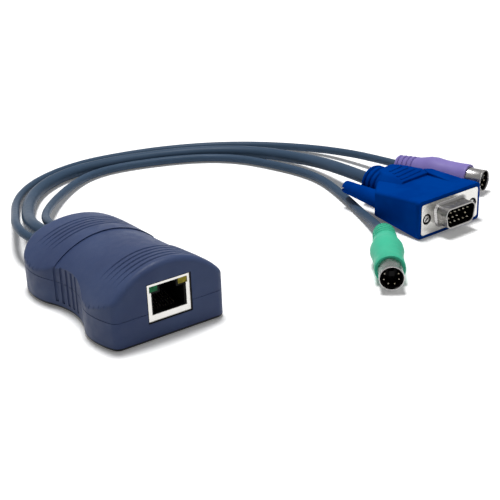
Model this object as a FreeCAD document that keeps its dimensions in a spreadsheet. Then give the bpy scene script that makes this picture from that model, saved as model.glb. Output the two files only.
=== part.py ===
# KVM dongle: a waisted, vaulted two-shell housing with an RJ45 socket in its front face, and three
# cables from its rear end to a VGA plug, a keyboard plug and a mouse plug.
# Frame: the housing's length along Y with the socket facing -Y, +X right, +Z up, origin on the
# ground under the middle of the housing. Millimetres.
import FreeCAD, Part
import math
import os
from FreeCAD import Placement, Rotation, Vector

doc = FreeCAD.newDocument("kvm_dongle")

# ---------------------------------------------------------------- driving dimensions
SIZES = {
    # housing plan: three tangent arcs a side, stations measured from the front face
    "case_length": 70.0,
    "bulge_half": 23.3,
    "bulge_at": 13.0,
    "waist_half": 18.7,
    "waist_at": 33.0,
    "hump_half": 23.3,
    "hump_from_rear": 15.5,
    "hump_at": "=case_length - hump_from_rear",
    "waist_radius": 30.0,
    "front_corner": 3.2,
    "rear_corner": 12.0,
    "front_radius": 30.0,
    "rear_radius": 26.0,
    # housing heights
    "wall": 2.0,
    "parting_height": 10.15,
    "crown_front": 27.2,
    "crown_fall": 0.086,
    "spring_front": 12.2,
    "spring_bulge": 10.5,
    "spring_waist": 13.5,
    "spring_hump": 10.8,
    "spring_rear": 10.6,
    "spring_reach": 1.0,
    "rim_fillet": 2.2,
    "foot_fillet": 1.2,
    "tongue_height": 1.0,
    "seat_gap": 0.15,
    # surface detail
    "rib_groove_width": 1.0,
    "rib_groove_depth": 0.55,
    "rib_pitch": 2.64,
    "rib_count": 5,
    "front_ribs_at": 3.8,
    "rear_ribs_from_rear": 19.8,
    "rear_ribs_at": "=case_length - rear_ribs_from_rear",
    "panel_front": 17.4,
    "panel_from_rear": 27.5,
    "panel_rear": "=case_length - panel_from_rear",
    "panel_depth": 0.5,
    "notch_radius": 0.7,
    "notch_pitch": 3.2,
    "notch_count": 5,
    "notch_first": 29.4,
    "notch_low": 2.5,
    "notch_high": 16.0,
    # RJ45 socket
    "jack_width": 16.2,
    "jack_height": 13.3,
    "jack_depth": 16.5,
    "jack_recess": 0.5,
    "jack_sheet": 0.4,
    "jack_window_gap": 0.35,
    "port_half": 6.6,
    "port_top_half": 7.2,
    "port_sill": 2.3,
    "port_head": 0.9,
    "led_height": 2.2,
    "led_width": 3.3,
    "cavity_half": 5.9,
    "cavity_height": 7.0,
    "latch_half": 3.1,
    "latch_height": 2.4,
    "contact_count": 8,
    "contact_pitch": 1.02,
    "contact_wire": 0.45,
    # circuit board and what stands on it
    "board_half": 16.5,
    "board_front": 3.0,
    "board_from_rear": 8.0,
    "board_rear": "=case_length - board_from_rear",
    "board_thickness": 1.6,
    "board_height": 5.07,
    "cap_radius": 2.5,
    "cap_height": 5.5,
    # screw posts, given from the middle plane and from the front face
    "post_radius": 3.2,
    "front_post_half": 16.4,
    "front_post_at": 10.5,
    "rear_post_half": 17.4,
    "rear_post_from_rear": 16.0,
    "rear_post_at": "=case_length - rear_post_from_rear",
    "screw_radius": 1.2,
    "screw_head_radius": 2.2,
    "screw_head_height": 1.6,
    "screw_reach": 8.0,
    "pilot_depth": 4.5,
    "screw_well_depth": 4.0,
    # gland round the three cables
    "gland_x": -4.5,
    "gland_height": 12.0,
    "gland_half": 7.6,
    "gland_radius": 3.6,
    "gland_collar": 4.6,
    "gland_length": 5.0,
    "gland_flange": 1.2,
    # cables
    "cable_spacing": 4.9,
    "video_diameter": 5.3,
    "thin_diameter": 3.4,
    # VGA plug
    "hood_width": 33.6,
    "hood_thickness": 15.3,
    "hood_body": 24.0,
    "hood_shoulder": 9.5,
    "hood_edge": 1.2,
    "hood_taper": 6.0,
    "hood_lip": 2.0,
    "neck_radius": 6.2,
    "neck_end_radius": 5.4,
    "neck_length": 9.8,
    "ring_count": 4,
    "ring_pitch": 3.0,
    "ring_width": 1.2,
    "ring_depth": 0.9,
    "flange_width": 30.8,
    "flange_height": 12.5,
    "flange_thickness": 0.8,
    "flange_proud": 0.3,
    "dshell_width": 16.9,
    "dshell_height": 8.3,
    "dshell_reach": 6.0,
    "dshell_sheet": 0.5,
    "dshell_slant": 10.0,
    "dshell_corner": 2.6,
    "vga_pin_pitch": 2.29,
    "vga_row_pitch": 1.98,
    "vga_pin_radius": 0.38,
    "vga_pin_reach": 5.2,
    "screw_span": 25.0,
    "thread_radius": 1.42,
    "thread_tip": 1.2,
    "grip_radius": 3.6,
    "grip_end_radius": 2.6,
    "grip_start": 19.0,
    "grip_end": 46.0,
    "grip_gap": 0.3,
    "shaft_in_grip": 11.0,
    "grip_slot": 2.0,
    "insulator_width": 18.6,
    "insulator_height": 10.0,
    "insulator_depth": 6.0,
    "insulator_nose": 1.3,
    "vga_x": 130.3,
    "vga_from_front": 6.1,
    "vga_turn": 2.25,
    "vga_pitch": 0.9,
    # PS/2 plugs
    "boot_radius": 5.5,
    "boot_grip_radius": 5.6,
    "boot_rear_radius": 4.1,
    "boot_length": 34.0,
    "boot_ring_zone": 9.6,
    "boot_seat_step": 0.3,
    "boot_undercut": 0.3,
    "din_radius": 4.5,
    "din_sheet": 0.4,
    "din_reach": 7.0,
    "din_pin_radius": 0.4,
    "din_pin_circle": 2.75,
    "din_seat": 6.0,
    "din_base_proud": 1.0,
    "din_key": 1.9,
    "wing_half": 5.9,
    "wing_thickness": 5.4,
    "keyboard_x": 166.1,
    "keyboard_from_front": 31.1,
    "keyboard_turn": 19.0,
    "mouse_x": 79.6,
    "mouse_from_front": -16.9,
    "mouse_turn": -37.5,
}

sheet = doc.addObject("Spreadsheet::Sheet", "Sizes")
for row, (name, size) in enumerate(SIZES.items(), 1):
    sheet.set(f"A{row}", name)
    sheet.set(f"B{row}", str(size))
    sheet.setAlias(f"B{row}", name)
doc.recompute()


def value(name):
    """A driving dimension, read back from the sheet."""
    return float(getattr(sheet, name))


FRONT = -value("case_length") / 2
UP = Vector(0, 0, 1)


# ---------------------------------------------------------------- helpers
def new_body(label, placement=Placement()):
    made = doc.addObject("PartDesign::Body", label)
    made.Label = label
    made.Placement = placement
    return made


def new_sketch(owner, name, role, offset=0.0):
    """A sketch on one of the body's own origin planes, moved along the plane's normal."""
    sketch = owner.newObject("Sketcher::SketchObject", name)
    plane = [item for item in owner.Origin.OriginFeatures if item.Role == role][0]
    sketch.AttachmentSupport = (plane, "")
    sketch.MapMode = "FlatFace"
    sketch.AttachmentOffset = Placement(Vector(0, 0, offset), Rotation())
    return sketch


def feature(owner, kind, name, profile, **settings):
    """A PartDesign feature on a sketch; text settings become expressions on the sheet."""
    made = owner.newObject("PartDesign::" + kind, name)
    made.Profile = profile
    for key, setting in settings.items():
        if isinstance(setting, str) and setting.startswith("="):
            made.setExpression(key, setting[1:])
        else:
            setattr(made, key, setting)
    doc.recompute()
    return made


def polygon(sketch, points):
    corners = [Vector(x, y, 0) for x, y in points]
    for start, end in zip(corners, corners[1:] + corners[:1]):
        sketch.addGeometry(Part.LineSegment(start, end), False)


def rectangle(sketch, x0, y0, x1, y1):
    polygon(sketch, [(x0, y0), (x1, y0), (x1, y1), (x0, y1)])


def circle(sketch, x, y, radius):
    sketch.addGeometry(Part.Circle(Vector(x, y, 0), UP, radius), False)


def gland_outline(sketch, radius):
    """The gland's flat oval, drawn with a radius round the same two centres."""
    middle = Vector(value("gland_x"), value("gland_height"), 0)
    reach = Vector(value("gland_half") - value("gland_radius"), 0, 0)
    up = Vector(0, radius, 0)
    for side in (-1, 1):
        centre = middle + reach * side
        tip = centre + Vector(side * radius, 0, 0)
        sketch.addGeometry(Part.Arc(centre + up, tip, centre - up), False)
        sketch.addGeometry(Part.LineSegment(middle - reach + up * side, middle + reach + up * side), False)


def fillet(owner, name, base, radius, chosen):
    """Round the edges of base that pass the test."""
    names = [f"Edge{n}" for n, edge in enumerate(base.Shape.Edges, 1) if chosen(edge)]
    made = owner.newObject("PartDesign::Fillet", name)
    made.Base = (base, names)
    if isinstance(radius, str):
        made.setExpression("Radius", radius)
    else:
        made.Radius = radius
    doc.recompute()
    return made


def boolean(kind, label, base, tools):
    """Part::Cut, Part::Fuse or Part::Common of whole objects."""
    made = base
    for number, tool in enumerate(tools, 1):
        last = number == len(tools)
        step = doc.addObject("Part::" + kind, label if last else f"{label}_{kind}{number}")
        step.Base = made
        step.Tool = tool
        made = step
    made.Label = label
    doc.recompute()
    return made


def plain(label, shape, placement=Placement()):
    made = doc.addObject("Part::Feature", label)
    made.Label = label
    made.Shape = shape
    made.Placement = placement
    return made


def row(y_from_front):
    """Y of a station measured from the housing's front face."""
    return FRONT + y_from_front


# ---------------------------------------------------------------- housing
def outline(sketch, inset):
    """The housing's plan, inset all round: front bulge, waist and rear hump as tangent arcs."""
    length = value("case_length")
    radius_waist = value("waist_radius")

    def flank_radius(half, station):
        """Radius of the arc that joins the waist to the widest point at a station."""
        rise = half - value("waist_half")
        span = station - value("waist_at")
        return (rise ** 2 + span ** 2) / (2 * rise) - radius_waist

    radius_bulge = flank_radius(value("bulge_half"), value("bulge_at"))
    radius_hump = flank_radius(value("hump_half"), value("hump_at"))
    bulge_front = Vector(value("bulge_half") - value("front_radius"), value("bulge_at"), 0)
    bulge = Vector(value("bulge_half") - radius_bulge, value("bulge_at"), 0)
    waist = Vector(value("waist_half") + radius_waist, value("waist_at"), 0)
    hump = Vector(value("hump_half") - radius_hump, value("hump_at"), 0)
    hump_rear = Vector(value("hump_half") - value("rear_radius"), value("hump_at"), 0)

    def corner_centre(centre, radius, corner, station):
        reach = (radius - corner) ** 2 - (station - centre.y) ** 2
        return Vector(centre.x + math.sqrt(reach), station, 0)

    front = corner_centre(bulge_front, value("front_radius"), value("front_corner"), value("front_corner"))
    rear = corner_centre(hump_rear, value("rear_radius"), value("rear_corner"),
                         length - value("rear_corner"))

    def toward(start, end):
        return (end - start).normalize()

    # each arc: centre, drawn radius, direction where it starts, direction where it ends
    across = Vector(1, 0, 0)
    arcs = [
        (front, value("front_corner") - inset, Vector(0, -1, 0), toward(bulge_front, front)),
        (bulge_front, value("front_radius") - inset, toward(bulge_front, front), across),
        (bulge, radius_bulge - inset, across, toward(bulge, waist)),
        (waist, radius_waist + inset, toward(waist, bulge), toward(waist, hump)),
        (hump, radius_hump - inset, toward(hump, waist), across),
        (hump_rear, value("rear_radius") - inset, across, toward(hump_rear, rear)),
        (rear, value("rear_corner") - inset, toward(hump_rear, rear), Vector(0, 1, 0)),
    ]
    for side in (1, -1):
        for centre, radius, first, last in arcs:
            middle = (first + last).normalize()
            ends = [centre + way * radius for way in (first, middle, last)]
            placed = [Vector(side * end.x, end.y + FRONT, 0) for end in ends]
            sketch.addGeometry(Part.Arc(*placed), False)
    for centre, station in ((front, inset), (rear, length - inset)):
        sketch.addGeometry(Part.LineSegment(Vector(-centre.x, row(station), 0),
                                            Vector(centre.x, row(station), 0)), False)


def posts():
    """The four screw posts' places in plan."""
    places = []
    for side in (-1, 1):
        places.append((side * value("front_post_half"), row(value("front_post_at"))))
        places.append((side * value("rear_post_half"), row(value("rear_post_at"))))
    return places


def vault_sections(owner, name):
    """Sections of the space above the vault: an arch at each station, and a flat ceiling."""
    beyond = 4.0
    stations = [
        (-beyond, value("bulge_half") - 0.7, value("spring_front")),
        (value("bulge_at"), value("bulge_half") + value("spring_reach"), value("spring_bulge")),
        (value("waist_at"), value("waist_half") + 3 * value("spring_reach"), value("spring_waist")),
        (value("hump_at"), value("hump_half") + value("spring_reach"), value("spring_hump")),
        (value("case_length") + beyond, value("hump_half") + value("spring_reach"),
         value("spring_rear")),
    ]
    ceiling = value("crown_front") + 6.0
    sections = []
    for number, (station, half, springing) in enumerate(stations, 1):
        crown = value("crown_front") - value("crown_fall") * station
        section = new_sketch(owner, f"{name}{number}", "XZ_Plane", -row(station))
        left = Vector(-half, springing, 0)
        right = Vector(half, springing, 0)
        section.addGeometry(Part.Arc(left, Vector(0, crown, 0), right), False)
        section.addGeometry(Part.LineSegment(right, Vector(half, ceiling, 0)), False)
        section.addGeometry(Part.LineSegment(Vector(half, ceiling, 0), Vector(-half, ceiling, 0)), False)
        section.addGeometry(Part.LineSegment(Vector(-half, ceiling, 0), left), False)
        sections.append(section)
    return sections


def loft(owner, kind, name, sections):
    made = owner.newObject("PartDesign::" + kind, name)
    made.Profile = sections[0]
    made.Sections = sections[1:]
    doc.recompute()
    return made


def jack_window(owner, low, high):
    """The socket's window through the front wall, between two heights."""
    gap = value("jack_window_gap")
    sill = max(low, board_top - gap)
    head = min(high, board_top + value("jack_height") + gap)
    window = new_sketch(owner, "jack_window", "XZ_Plane", -FRONT + 1.0)
    half = value("jack_width") / 2 + gap
    rectangle(window, -half, sill, half, head)
    cut = feature(owner, "Pocket", "jack_window_cut", window)
    cut.setExpression("Length", "Sizes.wall * 2 + 1")
    return cut


def gland_slot(owner):
    slot = new_sketch(owner, "gland_slot", "XZ_Plane", FRONT - 3.0)
    gland_outline(slot, value("gland_radius"))
    cut = feature(owner, "Pocket", "gland_slot_cut", slot, Reversed=True)
    cut.setExpression("Length", "Sizes.wall * 2 + 6")
    return cut


board_top = value("board_height") + value("board_thickness")


def side_notches(owner, low, high, station):
    """Upright grip notches in both waist sides, from low to high."""
    marks = new_sketch(owner, "notches", "XY_Plane", station)
    radius = value("notch_radius")
    for number in range(int(value("notch_count"))):
        at = value("notch_first") + number * value("notch_pitch")
        reach = value("waist_radius") ** 2 - (at - value("waist_at")) ** 2
        half = value("waist_half") + value("waist_radius") - math.sqrt(reach)
        for side in (-1, 1):
            circle(marks, side * (half + 0.15), row(at), radius)
    return feature(owner, "Pocket", "notch_cut", marks, Length=high - low)


def housing_bottom():
    made = new_body("case_bottom")
    plan = new_sketch(made, "plan", "XY_Plane")
    outline(plan, 0.0)
    block = feature(made, "Pad", "block", plan, Length="=Sizes.parting_height")
    foot = fillet(made, "foot_edge", block, "Sizes.foot_fillet",
                  lambda edge: edge.BoundBox.ZMax < 0.01)
    inside = new_sketch(made, "inside", "XY_Plane", value("parting_height"))
    outline(inside, value("wall"))
    for x, y in posts():
        circle(inside, x, y, value("post_radius"))
    feature(made, "Pocket", "hollow", inside, Length="=Sizes.parting_height - Sizes.wall")
    ribs = new_sketch(made, "board_ribs", "XY_Plane", value("wall"))
    for side in (-1, 1):
        x0, x1 = sorted((side * value("board_half"), side * (value("board_half") - 3.0)))
        for station in (value("board_front") + 14.0, value("board_rear") - 20.0):
            rectangle(ribs, x0, row(station), x1, row(station + 6.0))
    feature(made, "Pad", "board_rib_pads", ribs, Length="=Sizes.board_height - Sizes.wall")
    tongue = new_sketch(made, "tongue", "XY_Plane", value("parting_height"))
    outline(tongue, value("wall") / 2 + value("seat_gap"))
    outline(tongue, value("wall"))
    feature(made, "Pad", "tongue_ring", tongue, Length="=Sizes.tongue_height")
    wells = new_sketch(made, "wells", "XY_Plane")
    bores = new_sketch(made, "bores", "XY_Plane")
    for x, y in posts():
        circle(wells, x, y, value("screw_head_radius") + value("seat_gap"))
        circle(bores, x, y, value("screw_radius") + value("seat_gap"))
    feature(made, "Pocket", "well_cut", wells, Reversed=True, Length="=Sizes.screw_well_depth")
    feature(made, "Pocket", "bore_cut", bores, Reversed=True, Length="=Sizes.parting_height")
    side_notches(made, value("notch_low"), value("parting_height") + 2.0,
                 value("parting_height") + 2.0)
    jack_window(made, 0.0, value("parting_height") + 2.0)
    gland_slot(made)
    return made


def housing_top():
    """The vaulted shell: a block cut by the space above the vault, ribbed and hollowed."""
    above = new_body("above_vault")
    loft(above, "AdditiveLoft", "space", vault_sections(above, "arch"))

    def lowered(name, drop):
        """The space above the vault, let down by a depth."""
        return plain(name, above.Shape, Placement(Vector(0, 0, -drop), Rotation()))

    shell = new_body("case_top_shell")
    plan = new_sketch(shell, "plan", "XY_Plane", value("parting_height"))
    outline(plan, 0.0)
    block = feature(shell, "Pad", "block", plan)
    block.setExpression("Length", "Sizes.crown_front - Sizes.parting_height + 1.5")
    doc.recompute()
    vault = loft(shell, "SubtractiveLoft", "vault", vault_sections(shell, "section"))
    low = value("parting_height") + 0.5
    fillet(shell, "rim_edge", vault, "Sizes.rim_fillet",
           lambda edge: edge.BoundBox.ZMin > low)
    side_notches(shell, value("parting_height"), value("notch_high"), value("notch_high"))
    jack_window(shell, value("parting_height") - 2.0, 40.0)
    gland_slot(shell)

    core = new_body("case_top_core")
    inside = new_sketch(core, "inside", "XY_Plane", value("parting_height") - 1.0)
    outline(inside, value("wall"))
    for x, y in posts():
        circle(inside, x, y, value("post_radius"))
    filling = feature(core, "Pad", "filling", inside)
    filling.setExpression("Length", "Sizes.crown_front - Sizes.parting_height + 2.5")
    doc.recompute()
    hollow = boolean("Cut", "case_top_hollow", core, [lowered("ceiling", value("wall"))])

    rebate = new_body("case_top_rebate")
    rim = new_sketch(rebate, "rim", "XY_Plane", value("parting_height") - 1.0)
    outline(rim, value("wall") / 2)
    for x, y in posts():
        circle(rim, x, y, value("post_radius"))
    feature(rebate, "Pad", "step", rim, Length="=Sizes.tongue_height + Sizes.seat_gap + 1")

    half = value("rib_groove_width") / 2
    grooves = [(first + number * value("rib_pitch") - half, first + number * value("rib_pitch") + half)
               for first in (value("front_ribs_at"), value("rear_ribs_at"))
               for number in range(int(value("rib_count")))]
    cutters = []
    for name, depth, bands in (("ribs", value("rib_groove_depth"), grooves),
                               ("panel", value("panel_depth"),
                                [(value("panel_front"), value("panel_rear"))])):
        slabs = [Part.makeBox(80, end - start, 40, Vector(-40, row(start), value("parting_height")))
                 for start, end in bands]
        slab = plain(f"{name}_bands", Part.makeCompound(slabs))
        cutters.append(boolean("Common", f"{name}_cutter", lowered(f"{name}_space", depth), [slab]))

    bores = [Part.makeCylinder(value("screw_radius") - 0.1, value("pilot_depth"),
                               Vector(x, y, value("parting_height") - 1.0)) for x, y in posts()]
    pilots = plain("pilots", Part.makeCompound(bores))
    return boolean("Cut", "case_top", shell, [hollow, rebate, pilots] + cutters)


# ---------------------------------------------------------------- RJ45 socket
JACK_FACE = FRONT + value("jack_recess")


def jack_shield():
    """Folded sheet shield: four walls and a front frame round the stepped port."""
    made = new_body("rj45_shield")
    half = value("jack_width") / 2
    sheet_metal = value("jack_sheet")
    face = new_sketch(made, "face", "XZ_Plane", -JACK_FACE)
    rectangle(face, -half, board_top, half, board_top + value("jack_height"))
    block = feature(made, "Pad", "block", face, Reversed=True, Length="=Sizes.jack_depth")
    inside = new_sketch(made, "inside", "XZ_Plane", -JACK_FACE - value("jack_depth"))
    rectangle(inside, sheet_metal - half, board_top + sheet_metal,
              half - sheet_metal, board_top + value("jack_height") - sheet_metal)
    hollow = feature(made, "Pocket", "hollow", inside, Reversed=True)
    hollow.setExpression("Length", "Sizes.jack_depth - Sizes.jack_sheet")
    port = new_sketch(made, "port", "XZ_Plane", -JACK_FACE)
    port_outline(port, 0.0)
    feature(made, "Pocket", "port_cut", port, Length="=Sizes.jack_sheet")
    return made


def port_outline(sketch, inset):
    """The front frame's opening: wider along the top, where the light pipes are."""
    low = board_top + value("port_sill") + inset
    high = board_top + value("jack_height") - value("port_head") - inset
    step = high - value("led_height")
    narrow = value("port_half") - inset
    wide = value("port_top_half") - inset
    polygon(sketch, [(-narrow, low), (narrow, low), (narrow, step), (wide, step),
                     (wide, high), (-wide, high), (-wide, step), (-narrow, step)])


def jack_housing():
    """Black insert that fills the shield, with the plug cavity and the latch slot above it."""
    made = new_body("rj45_housing")
    half = value("jack_width") / 2 - value("jack_sheet")
    low = board_top + value("jack_sheet")
    high = board_top + value("jack_height") - value("jack_sheet")
    face = new_sketch(made, "face", "XZ_Plane", -JACK_FACE - value("jack_sheet"))
    rectangle(face, -half, low, half, high)
    block = feature(made, "Pad", "block", face, Reversed=True)
    block.setExpression("Length", "Sizes.jack_depth - Sizes.jack_sheet")
    cavity = new_sketch(made, "cavity", "XZ_Plane", -JACK_FACE - value("jack_sheet"))
    floor = board_top + value("port_sill") + 0.3
    roof = floor + value("cavity_height")
    polygon(cavity, [(-value("cavity_half"), floor), (value("cavity_half"), floor),
                     (value("cavity_half"), roof), (value("latch_half"), roof),
                     (value("latch_half"), roof + value("latch_height")),
                     (-value("latch_half"), roof + value("latch_height")),
                     (-value("latch_half"), roof), (-value("cavity_half"), roof)])
    feature(made, "Pocket", "cavity_cut", cavity, Length="=Sizes.jack_depth - 3")
    slots = new_sketch(made, "light_slots", "XZ_Plane", -JACK_FACE - value("jack_sheet"))
    for side in (-1, 1):
        x0, x1 = sorted(side * reach for reach in led_span())
        rectangle(slots, x0, led_low(), x1, led_low() + value("led_height"))
    feature(made, "Pocket", "light_slot_cut", slots, Length="=Sizes.jack_depth")
    return made


def led_span():
    return value("port_top_half") - value("led_width"), value("port_top_half")


def led_low():
    return board_top + value("jack_height") - value("port_head") - value("led_height")


def light_pipe(label, side):
    """Clear pipe from the socket's upper corner to its rear, filling its slot."""
    made = new_body(label)
    face = new_sketch(made, "face", "XZ_Plane", -JACK_FACE - value("jack_sheet"))
    x0, x1 = sorted(side * reach for reach in led_span())
    rectangle(face, x0, led_low(), x1, led_low() + value("led_height"))
    pipe = feature(made, "Pad", "pipe", face, Reversed=True)
    pipe.setExpression("Length", "Sizes.jack_depth - Sizes.jack_sheet")
    return made


def contacts():
    """Eight spring wires that rise from the cavity's floor and lean back to its rear wall."""
    wire = value("contact_wire")
    floor = board_top + value("port_sill") + 0.3
    front = JACK_FACE + 3.5
    rear = JACK_FACE + value("jack_depth") - 3.0 + value("jack_sheet")
    wires = []
    for number in range(int(value("contact_count"))):
        x = (number - (value("contact_count") - 1) / 2) * value("contact_pitch")
        bend = Vector(x, front, floor + wire / 2)
        knee = Vector(x, front + 1.2, floor + wire / 2 + 0.35)
        high = Vector(x, rear, floor + 3.4)
        path = Part.Wire([Part.LineSegment(bend, knee).toShape(),
                          Part.LineSegment(knee, high).toShape()])
        section = Part.Wire([Part.Circle(bend, knee - bend, wire / 2).toShape()])
        wires.append(path.makePipeShell([section], True, False, 2))
    return plain("rj45_contacts", Part.makeCompound(wires))


# ---------------------------------------------------------------- circuit board
def circuit_board():
    made = new_body("circuit_board")
    plan = new_sketch(made, "plan", "XY_Plane", value("board_height"))
    rectangle(plan, -value("board_half"), row(value("board_front")),
              value("board_half"), row(value("board_rear")))
    feature(made, "Pad", "board", plan, Length="=Sizes.board_thickness")
    scallops = new_sketch(made, "scallops", "XY_Plane", board_top)
    for x, y in posts():
        circle(scallops, x, y, value("post_radius") + value("seat_gap"))
    feature(made, "Pocket", "scallop_cut", scallops, Length="=Sizes.board_thickness")
    return made


def chip(label, x, station, width, length, height, lead_count):
    """A moulded chip with gull-wing leads along both sides."""
    low = board_top
    body = Part.makeBox(width, length, height - 0.15, Vector(x - width / 2, row(station), low + 0.15))
    body = body.makeChamfer(0.2, [edge for edge in body.Edges if edge.BoundBox.ZMin > low + height - 0.1])
    pieces = [body]
    pitch = length / (lead_count + 1)
    for number in range(1, lead_count + 1):
        at = row(station) + number * pitch
        for side in (-1, 1):
            foot = Part.makeBox(1.0, pitch * 0.45, 0.15)
            start = x + side * width / 2 - (1.0 if side < 0 else 0.0)
            foot.translate(Vector(start, at - pitch * 0.225, low))
            shin = Part.makeBox(0.15, pitch * 0.45, height * 0.5)
            at_side = x + side * width / 2 - (0.15 if side < 0 else 0.0)
            shin.translate(Vector(at_side, at - pitch * 0.225, low))
            pieces.append(foot.fuse(shin))
    solid = pieces[0].multiFuse(pieces[1:]).removeSplitter()
    return plain(label, solid)


def crystal():
    can = Part.makeBox(11.0, 4.6, 3.4, Vector(-14.0, row(22.5), board_top))
    upright = [edge for edge in can.Edges if edge.BoundBox.ZLength > 3.0]
    return plain("crystal", can.makeFillet(2.2, upright))


def capacitors():
    """Electrolytic cans beside the controller, each with its base and crimp."""
    cans = []
    for x, station in ((12.0, 22.0), (12.0, 29.0), (-12.5, value("board_rear") - 18.0)):
        can = Part.makeCylinder(value("cap_radius"), value("cap_height"),
                                Vector(x, row(station), board_top))
        crimp = Part.makeTorus(value("cap_radius") + 0.25, 0.45,
                               Vector(x, row(station), board_top + 1.6))
        cans.append(can.cut(crimp))
    return plain("capacitors", Part.makeCompound(cans))


def wire_header(label, x, ways):
    """Shrouded header at the board's rear edge."""
    width = ways * 1.25 + 1.5
    low = Vector(x - width / 2, row(value("board_rear") - 6.0), board_top)
    shroud = Part.makeBox(width, 4.6, 4.2, low)
    slot = Part.makeBox(width - 1.2, 3.4, 3.4, low + Vector(0.6, 0.6, 0.8))
    return plain(label, shroud.cut(slot))


def case_screws():
    """Four self-tapping screws, heads up in their wells."""
    screws = []
    head_low = value("screw_well_depth") - value("screw_head_height")
    for x, y in posts():
        head = Part.makeCylinder(value("screw_head_radius"), value("screw_head_height"),
                                 Vector(x, y, head_low))
        cross = Part.makeBox(2.4, 0.5, 0.8, Vector(x - 1.2, y - 0.25, head_low))
        turned = cross.rotated(Vector(x, y, 0), UP, 90)
        shank = Part.makeCylinder(value("screw_radius") - 0.1, value("screw_reach"),
                                  Vector(x, y, value("screw_well_depth")))
        screws.append(head.cut(cross).cut(turned).fuse(shank).removeSplitter())
    return plain("case_screws", Part.makeCompound(screws))


# ---------------------------------------------------------------- gland
GLAND_FACE = row(value("case_length") + value("gland_length"))


def cable_gland():
    """Soft collar that grips the three cables, clipped round the edge of the rear wall."""
    made = new_body("cable_gland")
    rear = row(value("case_length"))
    neck = new_sketch(made, "neck", "XZ_Plane", -GLAND_FACE)
    gland_outline(neck, value("gland_radius"))
    body = feature(made, "Pad", "neck_pad", neck)
    body.setExpression("Length", "Sizes.gland_length + Sizes.wall + Sizes.gland_flange")
    collar = new_sketch(made, "collar", "XZ_Plane", -GLAND_FACE)
    gland_outline(collar, value("gland_collar"))
    feature(made, "Pad", "collar_pad", collar, Length="=Sizes.gland_length")
    flange = new_sketch(made, "flange", "XZ_Plane", value("wall") + value("seat_gap") - rear)
    gland_outline(flange, value("gland_collar"))
    inner = feature(made, "Pad", "flange_pad", flange, Length="=Sizes.gland_flange")
    fillet(made, "collar_edge", inner, 2.0,
           lambda edge: edge.BoundBox.YMin > GLAND_FACE - 0.01)
    return made


# ---------------------------------------------------------------- VGA plug
def rounded(sketch, corners, radius):
    """A closed outline with straight sides and one radius at every corner."""
    points = [Vector(x, y, 0) for x, y in corners]
    count = len(points)
    joins = []
    for number, corner in enumerate(points):
        back = (points[number - 1] - corner).normalize()
        ahead = (points[(number + 1) % count] - corner).normalize()
        half_angle = back.getAngle(ahead) / 2
        reach = radius / math.tan(half_angle)
        centre = corner + (back + ahead).normalize() * (radius / math.sin(half_angle))
        middle = centre + (corner - centre).normalize() * radius
        joins.append((corner + back * reach, middle, corner + ahead * reach))
    for number, (start, middle, end) in enumerate(joins):
        sketch.addGeometry(Part.Arc(start, middle, end), False)
        sketch.addGeometry(Part.LineSegment(end, joins[(number + 1) % count][0]), False)


def rounded_box(sketch, width, height, radius):
    rounded(sketch, [(-width / 2, -height / 2), (width / 2, -height / 2),
                     (width / 2, height / 2), (-width / 2, height / 2)], radius)


# the plug lies on the front edge of its tapered hood, its rear held up a little by the cable
VGA_TILT = Rotation(Vector(1, 0, 0), value("vga_pitch"))
VGA_PLACE = Placement(Vector(value("vga_x"), row(value("vga_from_front")), value("hood_thickness") / 2),
                      Rotation(UP, value("vga_turn")).multiply(VGA_TILT))
FLANGE_BACK = value("flange_thickness") - value("flange_proud")


def d_outline(sketch, inset):
    """The D shape, wide side up, with slanted ends."""
    half_height = value("dshell_height") / 2 - inset
    slant = math.tan(math.radians(value("dshell_slant")))
    lean = inset / math.cos(math.radians(value("dshell_slant")))
    wide = value("dshell_width") / 2 - lean - inset * slant
    full = value("dshell_width") / 2 - lean
    top = full - (value("dshell_height") / 2 - half_height) * slant
    foot = top - 2 * half_height * slant
    rounded(sketch, [(-foot, -half_height), (foot, -half_height),
                     (top, half_height), (-top, half_height)],
            value("dshell_corner") - inset)


def screw_sides():
    return (-value("screw_span") / 2, value("screw_span") / 2)


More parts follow.
